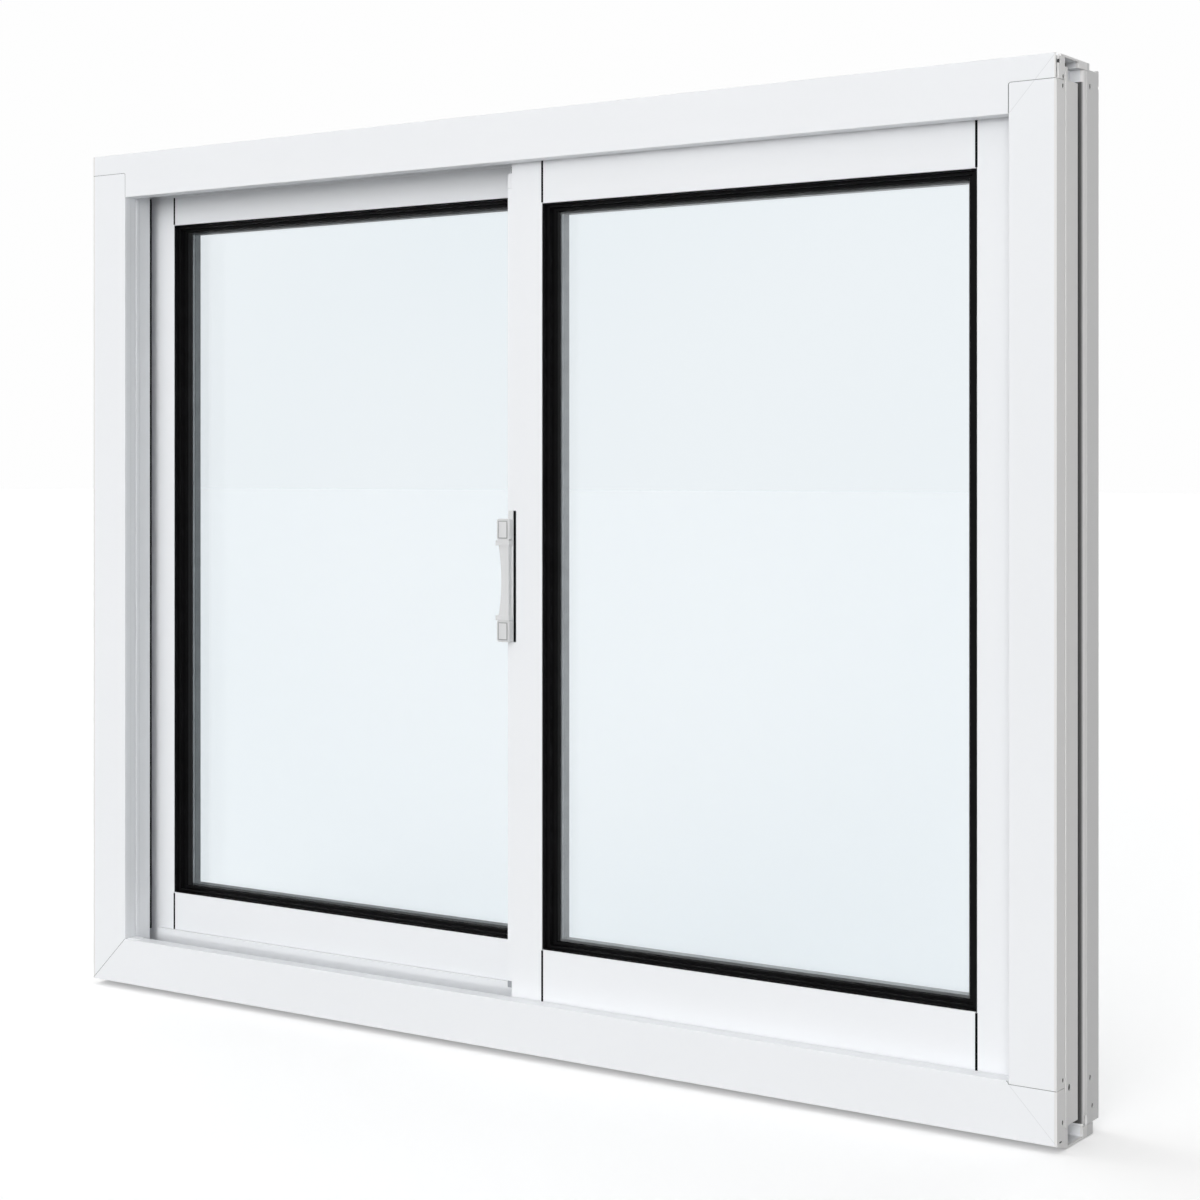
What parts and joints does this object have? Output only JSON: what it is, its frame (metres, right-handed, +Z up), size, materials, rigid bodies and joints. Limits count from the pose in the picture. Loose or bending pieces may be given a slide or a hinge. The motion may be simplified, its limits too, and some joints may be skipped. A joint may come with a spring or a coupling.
{
  "type": "sliding window",
  "caption": "White horizontal sliding window on a two-track frame of hollow profiles, with double-glazed sashes, black glazing seals, rollers and a pull handle on the meeting stile.",
  "frame": {"origin": "middle of the sill's underside, at the centre of the window's width and depth", "axes": "+X to the right seen from the face with the handle, +Y from that face to the back, +Z up"},
  "size_m": [1.2, 0.093, 0.96],
  "materials": {
    "white_profile": "satin white PVC",
    "glass": "clear float glass",
    "black_seal": "matt black EPDM",
    "spacer_metal": "mill grey",
    "zinc": "zinc plated",
    "roller_nylon": "moulded nylon",
    "handle_white": "satin"
  },
  "bodies": {
    "root": {"frame_head": "white_profile", "frame_left_jamb": "white_profile", "frame_right_jamb": "white_profile", "frame_sill": "white_profile", "front_sash_back_pane": "glass", "front_sash_back_seal": "black_seal", "front_sash_bottom_clip": "white_profile", "front_sash_bottom_rail": "white_profile", "front_sash_front_pane": "glass", "front_sash_front_seal": "black_seal", "front_sash_left_roller": "roller_nylon", "front_sash_left_roller_cage": "zinc", "front_sash_meeting_stile": "white_profile", "front_sash_outer_stile": "white_profile", "front_sash_right_roller": "roller_nylon", "front_sash_right_roller_cage": "zinc", "front_sash_spacer_bar": "spacer_metal", "front_sash_top_clip": "white_profile", "front_sash_top_rail": "white_profile", "handle_bottom_cap": "handle_white", "handle_gasket": "black_seal", "handle_grip": "handle_white", "handle_plate": "handle_white", "handle_top_cap": "handle_white", "left_track_cover": "white_profile", "rear_sash_back_pane": "glass", "rear_sash_back_seal": "black_seal", "rear_sash_bottom_rail": "white_profile", "rear_sash_front_pane": "glass", "rear_sash_front_seal": "black_seal", "rear_sash_left_roller": "roller_nylon", "rear_sash_left_roller_cage": "zinc", "rear_sash_meeting_stile": "white_profile", "rear_sash_outer_stile": "white_profile", "rear_sash_right_roller": "roller_nylon", "rear_sash_right_roller_cage": "zinc", "rear_sash_spacer_bar": "spacer_metal", "rear_sash_top_rail": "white_profile", "right_track_cover": "white_profile"}
  },
  "joints": []
}
